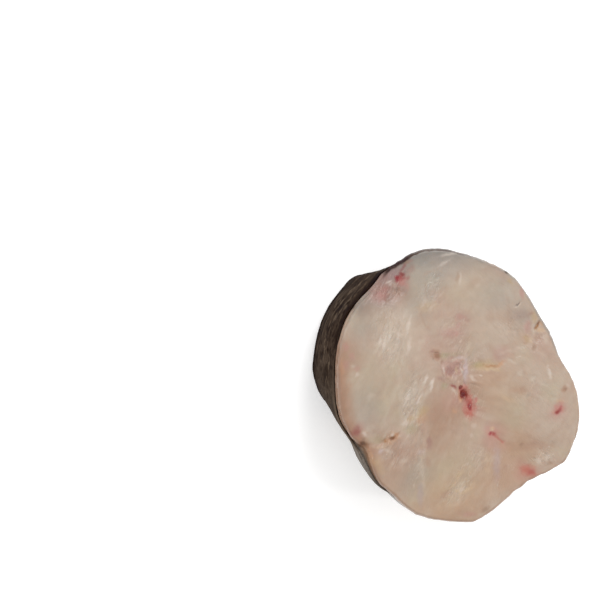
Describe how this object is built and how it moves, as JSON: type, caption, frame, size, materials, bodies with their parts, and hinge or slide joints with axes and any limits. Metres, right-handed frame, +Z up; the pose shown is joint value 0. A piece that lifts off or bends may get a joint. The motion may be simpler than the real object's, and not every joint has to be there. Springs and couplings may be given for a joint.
{
  "type": "hake steak",
  "caption": "Raw white fish steak cut across the tail half: round flesh with a wavy belly side, a thin band of dark skin round it and the backbone in the middle.",
  "frame": {"origin": "on the resting cut face, under the middle of the steak's bounding box", "axes": "+Z up through the steak's thickness, +Y towards the back of the fish, +X to the right seen from above"},
  "size_m": [0.0869, 0.1, 0.0349],
  "materials": {
    "flesh": "satin",
    "skin": "gloss",
    "bone": "satin"
  },
  "bodies": {
    "root": {"flesh": "flesh", "skin": "skin", "backbone": "bone"}
  },
  "joints": []
}
